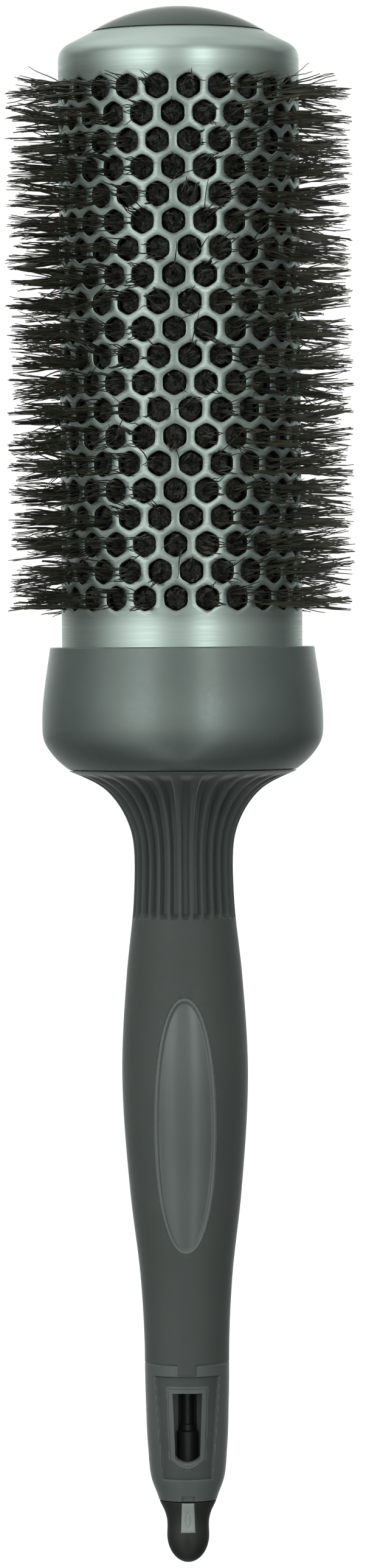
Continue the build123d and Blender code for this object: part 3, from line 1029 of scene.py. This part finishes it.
def tuft(points, faces, angle, height):
    """One vent's filaments: wisps that draw together towards their points."""
    out, side = outward(angle)
    up = Vector((0, 0, 1))
    foot = Vector((0, 0, height))
    lean = Vector((draw.gauss(0, 0.35), draw.gauss(0, 0.65)))
    wisps = []
    for _ in range(draw.choice((4, 5, 6))):
        spread = draw.uniform(0, 2 * math.pi)
        reach = WISP_REACH * math.sqrt(draw.random())
        end = Vector((0.85 * reach * math.cos(spread), 1.2 * reach * math.sin(spread)))
        wisps.append((end, TIP_R - abs(draw.gauss(0, 0.8))))
    for _ in range(PER_TUFT):
        end, reach = draw.choice(wisps)
        at_vent = end * 0.7 + Vector((draw.gauss(0, 0.38), draw.gauss(0, 0.55)))
        if at_vent.length > VENT_REACH:
            at_vent *= VENT_REACH / at_vent.length
        tip = lean + end + Vector((draw.gauss(0, 0.14), draw.gauss(0, 0.14)))
        if draw.random() < STRAY_SHARE:
            tip += Vector((draw.gauss(0, 2.0), draw.gauss(0, 2.2)))
            reach = min(reach, BARREL_R + STRAY_LENGTH)
        reach -= abs(draw.gauss(0, 0.55)) + (SHORT_BY if draw.random() < SHORT_SHARE else 0.0)
        beyond = reach - BARREL_R
        phase, wave = draw.uniform(0, 6.28), draw.uniform(5.0, 8.0)
        crimp_way = draw.uniform(0, math.pi)
        crimp = Vector((math.cos(crimp_way), math.sin(crimp_way))) * draw.uniform(0.06, 0.24)
        path = []
        for r in (ROOT_R, 12.0, BARREL_R):
            off = at_vent * ((r - ROOT_R) / (BARREL_R - ROOT_R))
            path.append((out * r + side * off.x + up * off.y + foot, side, up))
        for i in range(1, OUTER_STEPS + 1):
            share = i / OUTER_STEPS
            off = at_vent + (tip - at_vent) * (1.1 * share - 0.1 * share ** 2)
            off += crimp * math.sin(phase + 2 * math.pi * beyond * share / wave)
            r = BARREL_R + beyond * share
            path.append((out * r + side * off.x + up * off.y + foot, side, up))
        strand(points, faces, path, FILAMENT_R * draw.uniform(0.85, 1.15))


def bristles():
    """All rows' filaments, a few rows to a piece, and their packed roots."""
    for first in range(0, len(ROWS), ROWS_A_PIECE):
        points, faces = [], []
        group = range(first, min(first + ROWS_A_PIECE, len(ROWS)))
        for row in group:
            for k in range(VENTS_PER_ROW):
                tuft(points, faces, row_start(row) + k * VENT_STEP, ROW_HEIGHTS[row])
        name = f"bristles_{first // ROWS_A_PIECE + 1}"
        replaced = [ROWS[r] for r in group]
        piece = mesh_piece(name, points, faces, "brush", replaced, 80)
        dress(piece, NYLON)
    points, faces = [], []
    for row, height in enumerate(ROW_HEIGHTS):
        for k in range(VENTS_PER_ROW):
            root_mass(points, faces, row_start(row) + k * VENT_STEP, height)
    piece = mesh_piece("bristle_roots", points, faces, "brush", (), 30)
    dress(piece, ROOTS)


bristles()


# --- CAD nodes that stay as they are ------------------------------------------------------------

for node, material in (
    ("barrel_hub", HIDDEN),
    ("handle_core", FERRULE),
    ("core_wire_a", WIRE),
    ("core_wire_b", WIRE),
):
    dress(frame["nodes"][node], material)


# --- floor, light and camera --------------------------------------------------------------------

PICK_TRAVEL = next(j["range_m"][1] for j in frame["joints"] if j["name"] == "pick_slide") / MM
FLOOR_GAP = 4.0


def floor():
    """A plain pale floor below the reach of the drawn pick, seen by the camera only."""
    z = cad_box[0].z / MM - PICK_TRAVEL - FLOOR_GAP
    outline = [(0.0, z), (200.0, z), (1000.0, z), (6000.0, z), (6000.0, z - 5), (0.0, z - 5)]
    points, faces = lathe_data(outline, 96, closed=False)
    piece = mesh_piece("floor", points, faces, None)
    piece.visible_diffuse = False
    piece.visible_glossy = False
    material = bpy.data.materials.new("pale_floor")
    material.use_nodes = True
    tree = material.node_tree
    diffuse = tree.nodes.new("ShaderNodeBsdfDiffuse")
    diffuse.inputs["Color"].default_value = (0.4, 0.4, 0.4, 1)
    glow = tree.nodes.new("ShaderNodeEmission")
    glow.inputs["Strength"].default_value = 0.86
    both = tree.nodes.new("ShaderNodeAddShader")
    tree.links.new(diffuse.outputs["BSDF"], both.inputs[0])
    tree.links.new(glow.outputs["Emission"], both.inputs[1])
    tree.links.new(both.outputs["Shader"], tree.nodes["Material Output"].inputs["Surface"])
    dress(piece, material)


# the studio's brightness by azimuth in degrees: 0 is behind the camera, 90 to its right
STUDIO = [
    (-180, 0.95), (-165, 0.80), (-150, 0.55), (-135, 0.34), (-118, 0.19), (-96, 0.22), (-80, 0.42),
    (-60, 0.85), (-38, 1.50), (-28, 1.50), (-16, 0.75), (0, 0.55), (9, 0.75), (18, 1.60),
    (26, 1.60), (36, 0.80), (50, 0.50), (70, 0.32), (92, 0.18), (115, 0.12), (132, 0.25),
    (150, 0.55), (165, 0.80), (180, 0.95),
]
# the share of it that is left at a height, by the sine of the elevation
HEIGHTS = [
    (-1.0, 0.34), (-0.7, 0.40), (-0.3, 0.53), (-0.12, 0.60), (0.0, 0.95), (0.05, 1.1), (0.1, 1.2),
    (0.17, 1.3), (0.25, 0.95), (1.0, 0.9),
]
# the sky that takes over overhead and behind the brush, by the sine of the elevation
OVERHEAD = [(0.0, 0.40), (0.25, 0.42), (0.45, 0.50), (0.6, 0.70), (0.75, 0.86), (1.0, 0.86)]
SKY_LEFT, SKY_RIGHT = 0.54, 0.37
WORLD_STRENGTH = 4.0


def world():
    """White to the camera; a studio of soft lights round the horizon to everything else."""
    made = bpy.data.worlds.new("studio")
    made.use_nodes = True
    bpy.context.scene.world = made
    tree = made.node_tree
    link = tree.links.new

    def math_node(operation, first, second):
        node = tree.nodes.new("ShaderNodeMath")
        node.operation = operation
        for socket, value in zip(node.inputs, (first, second)):
            if isinstance(value, float):
                socket.default_value = value
            else:
                link(value, socket)
        return node.outputs["Value"]

    way = tree.nodes.new("ShaderNodeSeparateXYZ")
    link(tree.nodes.new("ShaderNodeTexCoord").outputs["Generated"], way.inputs["Vector"])
    front = math_node("MULTIPLY", way.outputs["Y"], -1.0)
    azimuth = math_node("ARCTAN2", way.outputs["X"], front)
    share = math_node("MULTIPLY_ADD", azimuth, 1 / (2 * math.pi))
    share.node.inputs[2].default_value = 0.5

    def ramp(value, low, high, stops):
        """A brightness, halved, read off a list of (place, level) between low and high."""
        node = tree.nodes.new("ShaderNodeValToRGB")
        made_stops = node.color_ramp.elements
        while len(made_stops) < len(stops):
            made_stops.new(0.5)
        for stop, (spot, level) in zip(made_stops, stops):
            stop.position = (spot - low) / (high - low)
            stop.color = (level / 2, level / 2, level / 2, 1)
        link(value, node.inputs["Fac"])
        return node.outputs["Color"]

    def ranged(value, from_low, from_high, low, high):
        node = tree.nodes.new("ShaderNodeMapRange")
        for name, number in (
            ("From Min", from_low), ("From Max", from_high), ("To Min", low), ("To Max", high),
        ):
            node.inputs[name].default_value = number
        link(value, node.inputs["Value"])
        return node.outputs["Result"]

    turned = ramp(share, -180, 180, STUDIO)
    sine = math_node("MULTIPLY_ADD", way.outputs["Z"], 0.5)
    sine.node.inputs[2].default_value = 0.5
    front_level = math_node("MULTIPLY", turned, ramp(sine, -1, 1, HEIGHTS))
    overhead = ramp(way.outputs["Z"], 0, 1, OVERHEAD)
    lean = ranged(way.outputs["X"], -0.1, 0.16, SKY_LEFT, SKY_RIGHT)
    sky = math_node("MULTIPLY", overhead, lean)
    behind = ranged(way.outputs["Y"], -0.2, 0.35, 0.0, 1.0)
    above = math_node("MULTIPLY", behind, ranged(way.outputs["Z"], 0.1, 0.3, 0.0, 1.0))
    backdrop = math_node("MULTIPLY", above, sky)
    around = math_node("MAXIMUM", front_level, backdrop)
    mix_up = tree.nodes.new("ShaderNodeMix")
    link(ranged(way.outputs["Z"], 0.2, 0.65, 0.0, 1.0), mix_up.inputs["Factor"])
    link(around, mix_up.inputs["A"])
    link(sky, mix_up.inputs["B"])
    level = mix_up.outputs["Result"]
    glow = tree.nodes["Background"]
    glow.inputs["Color"].default_value = (0.95, 1.0, 0.98, 1)
    link(math_node("MULTIPLY", level, WORLD_STRENGTH), glow.inputs["Strength"])
    white = tree.nodes.new("ShaderNodeBackground")
    white.inputs["Color"].default_value = (1, 1, 1, 1)
    mix = tree.nodes.new("ShaderNodeMixShader")
    link(tree.nodes.new("ShaderNodeLightPath").outputs["Is Camera Ray"], mix.inputs["Fac"])
    link(glow.outputs["Background"], mix.inputs[1])
    link(white.outputs["Background"], mix.inputs[2])
    link(mix.outputs["Shader"], tree.nodes["World Output"].inputs["Surface"])


CAMERA_DISTANCE = 1250.0
CAMERA_HEIGHT = 77.0
CAMERA_TILT = 1.221
CAMERA_ROLL = 0.39
CAMERA_SIDE = -0.03
LENS = 107.0264
SENSOR = 24.0


def camera():
    """A long lens at the brush's upper half, tilted down and rolled a little."""
    data = bpy.data.cameras.new("camera")
    data.sensor_fit = "VERTICAL"
    data.sensor_height = SENSOR
    data.lens = LENS
    data.clip_start = 0.05
    data.clip_end = 50
    made = bpy.data.objects.new("camera", data)
    upright = Matrix.Rotation(math.radians(90 - CAMERA_TILT), 4, "X")
    roll = Matrix.Rotation(math.radians(-CAMERA_ROLL), 4, "Z")
    place = Matrix.Translation(Vector((CAMERA_SIDE, -CAMERA_DISTANCE, CAMERA_HEIGHT)) * MM)
    made.matrix_world = place @ upright @ roll
    bpy.context.scene.collection.objects.link(made)
    bpy.context.scene.camera = made


floor()
world()
camera()
bpy.context.scene.view_settings.view_transform = "Standard"

bpy.context.view_layer.update()
